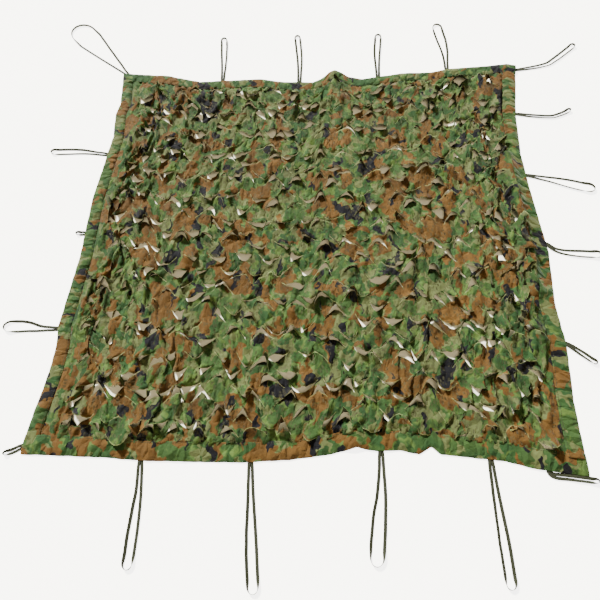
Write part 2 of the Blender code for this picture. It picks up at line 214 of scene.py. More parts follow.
def smooth(share):
    """0 to 1 with a gentle start and end."""
    share = np.clip(share, 0.0, 1.0)
    return share * share * (3 - 2 * share)


def drawn_in(edge, along):
    return np.interp(along, [row.along for row in edge], [row.drawn_in for row in edge])


def place(across, up):
    """Where points of the flat square cloth lie, from -1 to +1 both ways."""
    left = -HALF + drawn_in(LEFT_EDGE, up)
    right = HALF - drawn_in(RIGHT_EDGE, up)
    bottom = -HALF + drawn_in(BOTTOM_EDGE, across)
    top = HALF - drawn_in(TOP_EDGE, across)
    x = left + (across + HALF) / (2 * HALF) * (right - left)
    y = bottom + (up + HALF) / (2 * HALF) * (top - bottom)
    return x, y


def fold_height(x, y):
    """Height of the main folds at places on the surface."""
    height = np.zeros_like(x)
    for fold in FOLDS:
        run_x, run_y = fold.x1 - fold.x0, fold.y1 - fold.y0
        share = ((x - fold.x0) * run_x + (y - fold.y0) * run_y) / (run_x**2 + run_y**2)
        share = np.clip(share, 0.0, 1.0)
        away = np.hypot(x - fold.x0 - share * run_x, y - fold.y0 - share * run_y)
        height = np.maximum(height, fold.height * smooth(1 - away / fold.reach))
    return height


def rough(first, second, size, seed):
    """Smooth noise from about -1 to +1 over pairs of coordinates, with lumps of one size."""
    return np.array(
        [noise.noise(Vector((a / size, b / size, seed))) for a, b in zip(first, second)]
    )


# Making meshes


def cloth_object(name, points, quads, thickness, flat, marks):
    """A closed sheet from one layer of quads, with its flat-cloth map and its marks by point."""
    corners = points[quads]
    face_normals = np.cross(corners[:, 2] - corners[:, 0], corners[:, 3] - corners[:, 1])
    normals = np.zeros_like(points)
    for corner in range(4):
        np.add.at(normals, quads[:, corner], face_normals)
    normals /= np.maximum(np.linalg.norm(normals, axis=1, keepdims=True), 1e-12)

    # The rim joins the sheet's two faces along each edge that only one quad has
    count = len(points)
    starts = quads.ravel()
    ends = np.roll(quads, -1, axis=1).ravel()
    keys = set(zip(starts.tolist(), ends.tolist()))
    rim = [(b, a, a + count, b + count) for a, b in keys if (b, a) not in keys]
    rim.sort()
    faces = quads.tolist() + (quads[:, ::-1] + count).tolist() + rim

    mesh = bpy.data.meshes.new(name)
    both = np.concatenate([points + normals * thickness / 2, points - normals * thickness / 2])
    mesh.from_pydata(both.tolist(), [], faces)
    layer = mesh.uv_layers.new(name="flat_cloth")
    corner_verts = np.zeros(len(mesh.loops), dtype=int)
    mesh.loops.foreach_get("vertex_index", corner_verts)
    layer.data.foreach_set("uv", np.tile(flat, (2, 1))[corner_verts].ravel().astype(np.float32))
    values = {mark: np.tile(layer_values, 2) for mark, layer_values in marks.items()}
    values["reverse"] = np.repeat([0.0, 1.0], count)
    for mark in values:
        attribute = mesh.attributes.new(mark, "FLOAT", "POINT")
        attribute.data.foreach_set("value", values[mark].astype(np.float32))
    mesh.shade_smooth()
    piece = bpy.data.objects.new(name, mesh)
    bpy.context.collection.objects.link(piece)
    return piece


def grid_quads(index):
    """Quads between neighbours in a table of vertex numbers, rows outwards and columns along."""
    return np.stack(
        [index[:-1, :-1], index[:-1, 1:], index[1:, 1:], index[1:, :-1]], axis=-1
    ).reshape(-1, 4)


# Materials


def add_node(tree, kind, values=None, links=None, **settings):
    """Adds one node with its settings, its inputs' values and the sockets that feed them."""
    node = tree.nodes.new(kind)
    for name, value in settings.items():
        setattr(node, name, value)
    for socket, value in (values or {}).items():
        node.inputs[socket].default_value = value
    for socket, source in (links or {}).items():
        tree.links.new(source, node.inputs[socket])
    return node


def new_material(name):
    material = bpy.data.materials.new(name)
    material.use_nodes = True
    return material, material.node_tree, material.node_tree.nodes["Principled BSDF"]


def set_surface(shader, roughness, specular, sheen):
    shader.inputs["Roughness"].default_value = roughness
    shader.inputs["Specular IOR Level"].default_value = specular
    shader.inputs["Sheen Weight"].default_value = sheen
    shader.inputs["Sheen Roughness"].default_value = 0.5


def shaded(colour, *shares):
    """A linear colour with its red, green and blue multiplied by shares."""
    return (*(part * share for part, share in zip(colour, shares)), 1.0)


def blotches(tree, where, size, offset, low, high, stretch=(1.0, 1.0, 1.0)):
    """A mask of printed blotches of about one size in metres."""
    moved = add_node(
        tree, "ShaderNodeMapping",
        values={"Location": offset, "Scale": stretch}, links={"Vector": where},
    )
    lumps = add_node(
        tree, "ShaderNodeTexNoise",
        values={"Scale": 1 / size, "Detail": 1.2, "Roughness": 0.45, "Distortion": 0.5},
        links={"Vector": moved.outputs[0]},
    )
    edge = add_node(
        tree, "ShaderNodeMapRange",
        values={"From Min": low, "From Max": high}, links={"Value": lumps.outputs[0]},
        interpolation_type="SMOOTHSTEP",
    )
    return edge.outputs[0]


# Sockets of a colour Mix node: the colour below, the one above, and their mix
BELOW, ABOVE, MIXED = 6, 7, 2


def woodland_print(tree, flat, colours, greener):
    """Blotches of three colours and of painted highlight on two shades of green, with edges that
    wander a little.

    More of the ground's green shows where greener is higher."""
    wander = add_node(
        tree, "ShaderNodeTexNoise", values={"Scale": 28.0, "Detail": 1.0}, links={"Vector": flat}
    )
    shifted = add_node(
        tree, "ShaderNodeVectorMath",
        values={1: (0.5, 0.5, 0.5)}, links={0: wander.outputs[1]}, operation="SUBTRACT",
    )
    where = add_node(
        tree, "ShaderNodeVectorMath",
        values={1: (0.055, 0.055, 0.0)}, links={0: shifted.outputs[0], 2: flat},
        operation="MULTIPLY_ADD",
    ).outputs[0]

    green = colours.leaf_green
    colour = add_node(
        tree, "ShaderNodeMix", data_type="RGBA",
        values={BELOW: (*green, 1.0), ABOVE: shaded(green, 0.55, 0.75, 0.85)},
        links={0: blotches(tree, where, 0.16, (3.1, 1.7, 0.4), 0.40, 0.62)},
    ).outputs[MIXED]
    # Each colour: the size of its blotches in metres, the part of the noise that it takes,
    # where it starts and how soft its edge is, and how much longer than wide they are
    for above, size, offset, edge, soft, tall in (
        # The first is a lighter copy of the ground green: painted highlight, patches of leaf as if
        # in sunlight
        (shaded(green, 2.3, 1.75, 1.5), 0.030, (8.2, 3.3, 6.1), 0.475 + 0.06 * greener, 0.16, 0.6),
        ((*colours.pale_green, 1.0), 0.050, (0.4, 2.2, 1.1), 0.530 + 0.03 * greener, 0.016, 0.6),
        ((*colours.brown, 1.0), 0.070, (5.3, 0.6, 2.7), 0.532 + 0.03 * greener, 0.012, 0.6),
        ((*colours.black, 1.0), 0.062, (2.9, 7.1, 3.3), 0.628 + 0.01 * greener, 0.012, 0.5),
    ):
        mask = blotches(tree, where, size, offset, edge, edge + soft, (1.0, tall, 1.0))
        colour = add_node(
            tree, "ShaderNodeMix", data_type="RGBA",
            values={ABOVE: above}, links={0: mask, BELOW: colour},
        ).outputs[MIXED]
    return colour


def print_with_painted_light(tree, flat, printed):
    """The print as it shows: lighter and darker at random in patches, painted lighter or darker
    leaf by leaf as if lit and shaded, with a painted highlight at the cuts, dull behind.
    """
    # Lighter and darker at random in patches of about 30 mm
    random_patches = blotches(tree, flat, 0.03, (1.0, 1.0, 5.0), 0.25, 0.8)
    value = add_node(
        tree, "ShaderNodeMapRange", values={"To Min": 0.80, "To Max": 1.14}, links={"Value": random_patches}
    )
    # Painted light and shade: each leaf is made lighter or darker as if tilted to the light,
    # the quiet lip of a cut mostly darker and the lively, curled lip mostly lighter
    leaf = add_node(tree, "ShaderNodeAttribute", attribute_name="leaf_tone")
    painted_shade = add_node(
        tree, "ShaderNodeMath", values={1: 0.48, 2: 1.0}, links={0: leaf.outputs["Fac"]},
        operation="MULTIPLY_ADD",
    )
    toned = add_node(
        tree, "ShaderNodeMath", links={0: painted_shade.outputs[0], 1: value.outputs[0]},
        operation="MULTIPLY",
    )
    # The print with the painted light and shade of the leaves and the random patches
    worn = add_node(
        tree, "ShaderNodeHueSaturation", values={"Saturation": 0.96},
        links={"Color": printed, "Value": toned.outputs[0]},
    )
    # Painted highlight: a paler band along the lips of the cuts, where the leaves' edges catch the
    # light
    cut = add_node(tree, "ShaderNodeAttribute", attribute_name="cut_edge")
    rim = add_node(
        tree, "ShaderNodeMapRange",
        values={"From Min": 0.78, "From Max": 1.0, "To Max": 0.6},
        links={"Value": cut.outputs["Fac"]},
    )
    rimmed = add_node(
        tree, "ShaderNodeMix", data_type="RGBA", values={ABOVE: (*linear("#868C58"), 1.0)},
        links={0: rim.outputs[0], BELOW: worn.outputs[0]},
    )
    # The print goes only partly through to the back
    side = add_node(tree, "ShaderNodeAttribute", attribute_name="reverse")
    back = add_node(
        tree, "ShaderNodeMath", values={1: 0.55}, links={0: side.outputs["Fac"]},
        operation="MULTIPLY",
    )
    return add_node(
        tree, "ShaderNodeMix", data_type="RGBA", values={ABOVE: (*linear("#34321F"), 1.0)},
        links={0: back.outputs[0], BELOW: rimmed.outputs[MIXED]},
    ).outputs[MIXED]


def cloth_relief(tree, flat):
    """Sharp creases 36 mm apart and 64 mm long, rumples of 22 mm, and the weave."""
    lengthwise = add_node(
        tree, "ShaderNodeMapping", values={"Scale": (1 / 0.036, 1 / 0.064, 1.0)},
        links={"Vector": flat},
    )
    crease = add_node(
        tree, "ShaderNodeTexVoronoi", values={"Scale": 1.0, "Randomness": 1.0},
        links={"Vector": lengthwise.outputs[0]}, feature="DISTANCE_TO_EDGE",
    )
    rumple = add_node(
        tree, "ShaderNodeTexNoise",
        values={"Scale": 1 / 0.022, "Detail": 3.0, "Roughness": 0.6, "Distortion": 0.8},
        links={"Vector": flat},
    )
    # Threads stand about 0.5 mm apart, too fine to show, so the weave is drawn at 3 mm
    weave = add_node(
        tree, "ShaderNodeTexVoronoi", values={"Scale": 330.0, "Randomness": 0.25},
        links={"Vector": flat}, distance="CHEBYCHEV",
    )
    creased = add_node(
        tree, "ShaderNodeBump", values={"Strength": 0.8, "Distance": 0.026},
        links={"Height": crease.outputs[0]},
    )
    rumpled = add_node(
        tree, "ShaderNodeBump", values={"Strength": 0.7, "Distance": 0.007},
        links={"Height": rumple.outputs[0], "Normal": creased.outputs[0]},
    )
    return add_node(
        tree, "ShaderNodeBump", values={"Strength": 0.15, "Distance": 0.0006},
        links={"Height": weave.outputs["Distance"], "Normal": rumpled.outputs[0]},
    ).outputs[0]


def stitched_seam(tree, flat, colour, normal):
    """A row of dark lockstitches along the binding, 7 mm from its inner edge."""
    # Lockstitches are 3 mm long, drawn at 6 mm so that they show
    parts = add_node(tree, "ShaderNodeSeparateXYZ", links={0: flat})
    on_seam = add_node(
        tree, "ShaderNodeMath", values={1: 0.007, 2: 0.0011}, links={0: parts.outputs[1]},
        operation="COMPARE",
    )
    along_seam = add_node(
        tree, "ShaderNodeMath", values={1: 0.0085}, links={0: parts.outputs[0]},
        operation="MODULO",
    )
    on_stitch = add_node(
        tree, "ShaderNodeMath", values={1: 0.006}, links={0: along_seam.outputs[0]},
        operation="LESS_THAN",
    )
    thread = add_node(
        tree, "ShaderNodeMath", links={0: on_seam.outputs[0], 1: on_stitch.outputs[0]},
        operation="MULTIPLY",
    )
    stitched = add_node(
        tree, "ShaderNodeMix", data_type="RGBA", values={ABOVE: (*linear("#2C2E1E"), 1.0)},
        links={0: thread.outputs[0], BELOW: colour},
    )
    raised = add_node(
        tree, "ShaderNodeBump", values={"Strength": 0.8, "Distance": 0.0008},
        links={"Height": thread.outputs[0], "Normal": normal},
    )
    return stitched.outputs[MIXED], raised.outputs[0]


def printed_polyester(name, colours, greener, stitched=False):
    """Woven polyester cloth, printed: matt with a faint sheen, creased, painted lighter and darker
    by leaf and with a highlight along its cuts.
    """
    material, tree, shader = new_material(name)
    flat = add_node(tree, "ShaderNodeUVMap", uv_map="flat_cloth").outputs[0]
    colour = print_with_painted_light(tree, flat, woodland_print(tree, flat, colours, greener))
    normal = cloth_relief(tree, flat)
    if stitched:
        colour, normal = stitched_seam(tree, flat, colour, normal)
    tree.links.new(colour, shader.inputs["Base Color"])
    tree.links.new(normal, shader.inputs["Normal"])
    set_surface(shader, roughness=0.85, specular=0.12, sheen=0.03)
    return material


def woven_tape(colours):
    """Polyester tape, dyed and woven: ribbed across, with painted shade along both edges."""
    material, tree, shader = new_material("woven_polyester_tape")
    flat = add_node(tree, "ShaderNodeUVMap", uv_map="flat_cloth").outputs[0]
    parts = add_node(tree, "ShaderNodeSeparateXYZ", links={0: flat})
    off_middle = add_node(
        tree, "ShaderNodeMath", links={0: parts.outputs[0]}, operation="ABSOLUTE"
    )
    # Painted shade: the tape is darker towards both edges, as its rounded sides would be in shade
    edge_shade = add_node(
        tree, "ShaderNodeMapRange", values={"From Min": 0.0032, "From Max": 0.0058},
        links={"Value": off_middle.outputs[0]},
    )
    wear = add_node(
        tree, "ShaderNodeTexNoise", values={"Scale": 60.0, "Detail": 3.0}, links={"Vector": flat}
    )
    fresh, dull, dark = (shaded(colours.tape, share, share, share) for share in (1.0, 0.6, 0.33))
    worn = add_node(
        tree, "ShaderNodeMix", data_type="RGBA", values={BELOW: fresh, ABOVE: dull},
        links={0: wear.outputs[0]},
    )
    edged = add_node(
        tree, "ShaderNodeMix", data_type="RGBA", values={ABOVE: dark},
        links={0: edge_shade.outputs[0], BELOW: worn.outputs[MIXED]},
    )
    tree.links.new(edged.outputs[MIXED], shader.inputs["Base Color"])
    # Weft ribs stand 0.8 mm apart, drawn at 1.6 mm so that they show: a wave texture has
    # 3.18 bands in a metre for each unit of its scale
    ribs = add_node(
        tree, "ShaderNodeTexWave", values={"Scale": 198.9432, "Distortion": 0.6},
        links={"Vector": flat}, bands_direction="Y",
    )
    raised = add_node(
        tree, "ShaderNodeBump", values={"Strength": 0.5, "Distance": 0.0006},
        links={"Height": ribs.outputs[0]},
    )
    tree.links.new(raised.outputs[0], shader.inputs["Normal"])
    set_surface(shader, roughness=0.75, specular=0.12, sheen=0.03)
    return material


def plain_surface(name, colour, glow):
    """A smooth matt surface of one colour, that may be lit from below."""
    material, _, shader = new_material(name)
    shader.inputs["Base Color"].default_value = (*colour, 1.0)
    shader.inputs["Emission Color"].default_value = (1.0, 1.0, 1.0, 1.0)
    shader.inputs["Emission Strength"].default_value = glow
    set_surface(shader, roughness=0.9, specular=0.1, sheen=0.0)
    return material


# The ties


def strip_point(side, along, outward):
    """Points of the flat cloth, from how far along a side and out of its middle they are."""
    return {
        "top": (along, outward),
        "bottom": (along, -outward),
        "left": (-outward, along),
        "right": (outward, along),
    }[side]


def smooth_line(points, steps=24):
    """A smooth curve through a few points, closely sampled."""
    points = [Vector(point) for point in points]
    padded = [2 * points[0] - points[1]] + points + [2 * points[-1] - points[-2]]
    line = []
    for before, start, end, after in zip(padded, padded[1:], padded[2:], padded[3:]):
        for step in range(steps):
            t = step / steps
            bend = (2 * before - 5 * start + 4 * end - after) * t**2
            swing = (3 * start - before - 3 * end + after) * t**3
            line.append(0.5 * (2 * start + (end - before) * t + bend + swing))
    return np.array(line + [points[-1]])


ROOT_HALF_GAP = 0.004  # half the distance between the two ends of a loop at its root
SIDE_BY_SIDE = 0.0066  # the same where the legs lie beside each other
ROOT_LENGTH = 0.045  # over which the legs part
STACKED = 0.0019  # one leg lies on the other at the root
STRAIGHT_LEGS = 0.060  # half the width of a loop whose legs part in straight lines
LEANS = (0.12, 0.40)  # how far each leg turns up off the ground
HELD = 0.015  # half the length of straight edge that holds a root
TUCKED = 0.008  # how far a tape reaches in under the binding
TAPE_STEP = 0.008  # from one section of a leg to the next
WIDEST_AT = 0.72  # share of a loop's length at which its legs are farthest apart
LEANING_OVER = 0.45  # share of a loop's length over which its legs take up their lean
ON_EDGE = 2.2  # the tape stands on its edge this many caps before a loop's end
TURN_BACK = np.array([1.0, 0.8, 0.62, 0.46, 0.32, 0.2, 0.1, 0.03])  # sections of a cap
SWAY = 0.0012  # how far the second leg strays
CLEAR = 0.0002  # between the tape and the ground
# Outline of a tape, in half widths and half thicknesses: rounded selvedges, a thin middle
TAPE_SECTION = [
    (1.0, 0.0), (0.93, 0.8), (0.5, 1.0), (0.0, 0.94), (-0.5, 1.0), (-0.93, 0.8),
    (-1.0, 0.0), (-0.93, -0.8), (-0.5, -1.0), (0.0, -0.94), (0.5, -1.0), (0.93, -0.8),
]


def along_line(line, distances):
    """The places at some distances along a line, its direction there, and its length."""
    lengths = np.concatenate([[0.0], np.cumsum(np.linalg.norm(np.diff(line, axis=0), axis=1))])
    reach = 0.004
    at, behind, ahead = (
        np.stack([np.interp(distances + shift, lengths, line[:, axis]) for axis in (0, 1)], axis=1)
        for shift in (0.0, -reach, reach)
    )
    direction = ahead - behind
    return at, direction / np.linalg.norm(direction, axis=1, keepdims=True), lengths[-1]


def middle_line(tie):
    """The line along the middle of a loop, from under the binding to its far end."""
    ends = np.array(
        [place(*strip_point(tie.side, tie.along + way * HELD, HALF)) for way in (-1, 1)]
    )
    edge = (ends[1] - ends[0]) / np.linalg.norm(ends[1] - ends[0])
    base = ends.mean(axis=0)
    outward = np.array([edge[1], -edge[0]])
    if outward @ base < 0:
        outward = -outward
    return smooth_line([base - TUCKED * outward, base + 0.002 * outward] + list(tie.route))


def loop_route(tie):
    """The sections of a doubled tape: place in plan, turn about its length, extra height."""
    line = middle_line(tie)
    length = along_line(line, np.array([0.0]))[2]
    half = max(tie.width / 2, SIDE_BY_SIDE)
    cap = min(max(1.3 * half, 0.012), 0.4 * length)
    root = min(ROOT_LENGTH, 0.35 * length)
    count = max(6, round((length - cap) / TAPE_STEP))
    leg = np.linspace(0.0, length - cap, count, endpoint=False)
    distances = np.concatenate([leg, length - cap * TURN_BACK])
    at, along, _ = along_line(line, distances)

    gap = ROOT_HALF_GAP + (SIDE_BY_SIDE - ROOT_HALF_GAP) * smooth(distances / root)
    opening = np.clip((distances - root) / (WIDEST_AT * length - root), 0.0, 1.0)
    straight = min(1.0, half / STRAIGHT_LEGS)
    gap += (half - SIDE_BY_SIDE) * (straight * opening + (1 - straight) * smooth(opening))
    left = np.minimum(1.0, (length - distances) / cap)
    gap *= np.sqrt(1 - (1 - left) ** 2)

    upright = math.pi / 2
    turned = smooth((distances - root) / (LEANING_OVER * length))
    rounding = smooth(1 - (length - distances) / (ON_EDGE * cap))
    turns = [turned * (lean + (upright - lean) * rounding) for lean in LEANS]
    extra = STACKED * (1 - smooth((distances / root - 1) / 0.6))
    across = np.stack([-along[:, 1], along[:, 0]], axis=1)
    sway = SWAY * rough(distances, distances * 0, 0.05, len(tie.name) + tie.along * 10)
    out = at + across * gap[:, None]
    back = at - across * gap[:, None] + across * (sway * smooth(distances / 0.03))[:, None]
    places = np.concatenate([out, line[-1:], back[::-1]])
    turns = np.concatenate([turns[0], [upright], turns[1][::-1]])
    extras = np.concatenate([extra * 0, [0.0], extra[::-1]])
    return places, turns, extras


def tape_object(name, middle, wide, thin, half_width):
    """A closed tape along a line, with its half widths and half thicknesses at each point."""
    rings = np.stack([middle + wide * w + thin * t for w, t in TAPE_SECTION], axis=1)
    count = len(TAPE_SECTION)
    faces = []
    for ring in range(len(rings) - 1):
        for step in range(count):
            here, after = ring * count + step, ring * count + (step + 1) % count
            faces.append((here, after, after + count, here + count))
    faces.append(tuple(range(count - 1, -1, -1)))
    faces.append(tuple((len(rings) - 1) * count + step for step in range(count)))
    mesh = bpy.data.meshes.new(name)
    mesh.from_pydata(rings.reshape(-1, 3).tolist(), [], faces)
    run = np.concatenate([[0.0], np.cumsum(np.linalg.norm(np.diff(middle, axis=0), axis=1))])
    layer = mesh.uv_layers.new(name="flat_cloth")
    for loop in mesh.loops:
        ring, step = divmod(loop.vertex_index, count)
        layer.data[loop.index].uv = (TAPE_SECTION[step][0] * half_width, run[ring])
    mesh.shade_smooth()
    piece = bpy.data.objects.new(name, mesh)
    bpy.context.collection.objects.link(piece)
    return piece, float(run[-1])


def make_tie(tie, sizes, material):
    places, turns, extras = loop_route(tie)
    along = np.gradient(places, axis=0)
    along /= np.linalg.norm(along, axis=1, keepdims=True)
    side = np.stack([-along[:, 1], along[:, 0], np.zeros(len(along))], axis=1)
    up = np.array([0.0, 0.0, 1.0])
    cos, sin = np.cos(turns)[:, None], np.sin(turns)[:, None]
    half_width, half_thick = sizes.tape_width / 2, sizes.tape_thickness / 2
    wide = (side * cos + up * sin) * half_width
    thin = (up * cos - side * sin) * half_thick
    height = half_width * sin[:, 0] + half_thick * cos[:, 0] + extras + CLEAR
    middle = np.column_stack([places, height])
    piece, length = tape_object(tie.name + "_tape", middle, wide, thin, half_width)
    piece.data.materials.append(material)
    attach(piece, BODY)
    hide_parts(tie.name)


# The binding

STRIP_STEP = 0.006  # from one point to the next along a strip
STRIP_SHARES = np.array([0.0, 0.06, 0.2, 0.36, 0.52, 0.68, 0.84, 0.96, 1.0])  # and across it
RIDGE, FOLD, GATHER, SLANT = 0.016, 0.045, 0.13, 0.22  # sizes of the binding's unevenness
ROOT_REACH = 0.04  # how far a tie's root holds the gathers down
STRIP_HEIGHT = 0.0042  # of the middle of a strip that lies flat
EDGE_DROP = 0.0030  # how far its outer edge bends down between the ties


def make_binding(strip, sizes, material):
    seed = len(strip.name) * 1.7 + strip.width * 100
    along = np.linspace(-strip.reach, strip.reach, round(2 * strip.reach / STRIP_STEP) + 1)
    run, across = np.meshgrid(along, STRIP_SHARES)
    run, across = run.ravel(), across.ravel()
    slant = rough(run, run * 0, SLANT, seed + 5) * 3.0
    ridges = rough(run + slant * across * 0.010, across * 0.006, RIDGE, seed)
    broad = rough(run + slant * across * 0.008, across * 0.010, FOLD, seed + 9)
    gathered = smooth(0.5 + 0.9 * rough(run, run * 0, GATHER, seed + 3))
    belly = 0.28 + 0.72 * np.sin(math.pi * np.clip(across * 1.05, 0, 1)) ** 0.8
    lift = (0.5 + 0.5 * ridges) * 0.55 * belly + (0.5 + 0.5 * broad) * 0.8 * belly
    lift *= sizes.pucker * (0.25 + 0.9 * gathered)
    roots = [tie.along for tie in TIES if tie.side == strip.side]
    near = np.min(np.abs(run[:, None] - np.array(roots)[None]), axis=1)
    lift *= 1 - 0.8 * smooth(1 - near / ROOT_REACH) * smooth(across * 2 - 1)

    outward = HALF - strip.width * (1 - across)
    outward += 0.002 * rough(run, across, 0.03, seed + 7) * smooth(across * 3)
    outward += 0.003 * rough(run, across, 0.02, seed + 8) * smooth(1 - across * 3)
    x, y = place(*strip_point(strip.side, run, outward))
    bottom = STRIP_HEIGHT + strip.seam * smooth(1 - across * 5)
    drop = EDGE_DROP * smooth((across - 0.9) * 10) * smooth(near / 0.05)
    points = np.column_stack([x, y, np.minimum(fold_height(x, y) + bottom + lift - drop, TOP)])

    quads = grid_quads(np.arange(len(points)).reshape(len(STRIP_SHARES), len(along)))
    first, second, third = points[quads[0, :3]]
    if np.cross(second - first, third - first)[2] < 0:
        quads = quads[:, ::-1]
    # Each strip has its own place in the print
    flat = np.column_stack([run + 3.0 * len(strip.name), strip.width * across])
    piece = cloth_object(strip.name + "_strip", points, quads, sizes.binding_thickness, flat, {})
    piece.data.materials.append(material)
    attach(piece, BODY)
    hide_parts(strip.name)


# The leaf-cut cloth

SEED = 41
LEFT_MARGIN = 0.034  # uncut cloth before the first column of cuts
RIGHT_MARGIN = 0.012
END_MARGIN = 0.012  # uncut cloth outside the first and last row
HALF_STATIONS = 6  # mesh columns in half a pitch
REACH = HALF_STATIONS - 1  # of them, those that half a cut takes
ROW_STEPS = 5  # mesh rows from one row of cuts to the next
OPENED = 0.995  # how much longer the pulled-open cloth is than the cut cloth
NARROWED = 1.16  # how much wider the cut cloth is than the pulled-open cloth
TURNED_SHARE = 0.35  # share of the cuts that face the other way than the rest of their row
NARROWER = (0.45, 0.35, 0.20)  # shares of the cuts that are 0, 1 and 2 mesh columns narrower
CURLED_BACK = 0.40  # share of the leaves whose tips are curled back from the cut

# Of one cut, in row pitches: how far it rises or dips, how far its tip strays and its one
# side lies over the other, and how far a tip that is curled back is drawn back
ARCH_RISE = (0.46, 0.66)
LEAF_DIP = (0.52, 0.76)
TIP_STRAYS = 0.28
TILTED = 0.08
DRAWN_BACK = (0.12, 0.34)
BLUNTNESS = (1.15, 2.0)  # power of a cut's outline: pointed to round

# Shares of the leaf curl that the quiet and the lively lip of a cut take, how much more one
# side of a leaf curls than the other, and the lips' lowest and highest painted shade: the
# quiet lip is painted mostly darker and the lively, curled lip mostly lighter, as if lit
QUIET = (0.0, 0.3)
LIVELY = (0.1, 1.0)
LOPSIDED = 0.8
PAINTED_SHADES = (-1.0, -0.6), (0.4, 1.0)

# The cloth before it is pulled open: its mean height, the heights and the sizes of its
# unevenness, and how far its places stray in plan and over what size
MEAN_HEIGHT = 0.014
LUMP_HEIGHT, LUMP = 0.012, 0.12
PLEAT_HEIGHT, PLEAT = 0.024, 0.050
CREASE_HEIGHT, CREASE = 0.013, 0.022
STRAY, STRAY_SIZE = 0.026, 0.24

PULL_FRAMES = 20  # of the simulation, over which the border is pulled out
SETTLE_FRAMES = 14  # and over which the cloth comes to rest
BORDER_HEIGHT = 0.003
LOWEST = 0.0012  # of the middle of the cloth
FLATTENED_OVER = 0.014  # the part below the top in which high places are pressed down


def stations(sizes):
    """Where the mesh columns stand, and from which of them on the cuts are made.

    They are those of the left margin, of the cuts and of the right margin."""
    first, last = -SEAM + LEFT_MARGIN, SEAM - RIGHT_MARGIN
    cut = np.linspace(first, last, 2 * HALF_STATIONS * sizes.columns + 1)
    return np.concatenate([[-SEAM, -SEAM + LEFT_MARGIN / 2], cut, [SEAM]]), 2


def cut_row(row, row_pitch, across, first, sizes, rng):
    """The two lips of a row of cuts: how far each point is moved, its curl and its painted shade.

    A hanging leaf is cut free by a line that dips, an arch by one that rises."""
    shift = np.zeros((len(across), 2))
    parted = np.zeros(len(across), bool)
    edge = np.zeros(len(across))
    drawn_back = np.zeros((len(across), 2))
    curls = np.zeros((2, len(across)))
    painted_shades = np.zeros((2, len(across)))
    staggered = row % 2
    for column in range(sizes.columns - staggered):
        middle = first + HALF_STATIONS * (2 * column + 1 + staggered)
        reach = REACH - rng.choice(len(NARROWER), p=NARROWER)
        span = slice(middle - reach, middle + reach + 1)
        t = np.arange(-reach, reach + 1) / reach
        arched = (not staggered) != (rng.random() < TURNED_SHARE)
        profile = 1 - np.abs(t) ** rng.uniform(*BLUNTNESS)
        depth = row_pitch * (rng.uniform(*ARCH_RISE) if arched else -rng.uniform(*LEAF_DIP))
        shift[span, 0] = row_pitch * rng.uniform(-TIP_STRAYS, TIP_STRAYS) * profile
        shift[span, 1] = depth * profile + row_pitch * rng.uniform(-TILTED, TILTED) * t
        back = row_pitch * rng.uniform(*DRAWN_BACK) * (rng.random() < CURLED_BACK)
        drawn_back[span, 0] = back * rng.uniform(-0.4, 0.4) * profile**2
        drawn_back[span, 1] = back * profile**2
        parted[middle - reach + 1 : middle + reach] = True
        edge[span] = 1.0
        lively = sizes.leaf_curl * rng.uniform(*LIVELY) * profile**1.7
        lively *= 1 + rng.uniform(-LOPSIDED, LOPSIDED) * t
        quiet = sizes.leaf_curl * rng.uniform(*QUIET) * profile
        curls[:, span] = quiet, lively
        # Each lip's painted light and shade: the quiet lip mostly darker, the lively lip mostly
        # lighter
        painted_shades[:, span] = rng.uniform(*PAINTED_SHADES)[:, None]
    return shift, drawn_back, parted, edge, curls, painted_shades


def cut_sheet(sizes):
    """The cut cloth: its places when pulled open, its curls, its marks by point and its quads."""
    rng = np.random.default_rng(SEED)
    across, first = stations(sizes)
    row_pitch = 2 * (SEAM - END_MARGIN) / sizes.rows
    places, values = [], []

    def add_line(line, *line_values):
        start = sum(len(part) for part in places)
        places.append(line)
        values.append(np.stack(line_values))
        return np.arange(start, start + len(line))

    plain = np.zeros(len(across))
    lower = [add_line(np.column_stack([across, plain - SEAM]), plain, plain, plain)]
    upper = []
    for row in range(sizes.rows):
        level = -SEAM + END_MARGIN + row_pitch * (row + 0.5)
        lips = cut_row(row, row_pitch, across, first, sizes, rng)
        shift, drawn_back, parted, edge, curl, painted_shade = lips
        line = np.column_stack([across, plain + level]) + shift
        below = add_line(line, curl[0], painted_shade[0], edge)
        above = below.copy()
        tips = (line + drawn_back)[parted]
        above[parted] = add_line(tips, curl[1][parted], painted_shade[1][parted], edge[parted])
        upper.append(below)
        lower.append(above)
    upper.append(add_line(np.column_stack([across, plain + SEAM]), plain, plain, plain))

    quads = []
    for low, high in zip(lower, upper):
        at = np.concatenate(places)
        curl, painted_shade, _ = np.concatenate(values, axis=1)
        lines = [low]
        for share in np.arange(1, ROW_STEPS) / ROW_STEPS:
            between = at[low] + share * (at[high] - at[low])
            flatter = curl[low] * (1 - share) ** 2 + curl[high] * share**2
            blended = painted_shade[low] * (1 - share) + painted_shade[high] * share
            lines.append(add_line(between, flatter, blended, plain))
        quads.append(grid_quads(np.array(lines + [high])))
    curl, painted_shade, edge = np.concatenate(values, axis=1)
    # The painted light and shade of the leaves, and where the cuts run, which carry a painted
    # highlight
    marks = {"leaf_tone": painted_shade, "cut_edge": edge}
    return np.concatenate(places), curl, marks, np.concatenate(quads)


def crumpled(across, up):
    """Height of the cut cloth before it is pulled open: lumps, long pleats and small creases."""
    lumps = LUMP_HEIGHT * rough(across, up, LUMP, 1.0)
    pleats = PLEAT_HEIGHT * (0.5 - np.abs(rough(across, up * 0.45, PLEAT, 4.0)))
    creases = CREASE_HEIGHT * (0.5 - np.abs(rough(across, up * 0.6, CREASE, 7.0)))
    return MEAN_HEIGHT + lumps + pleats + creases


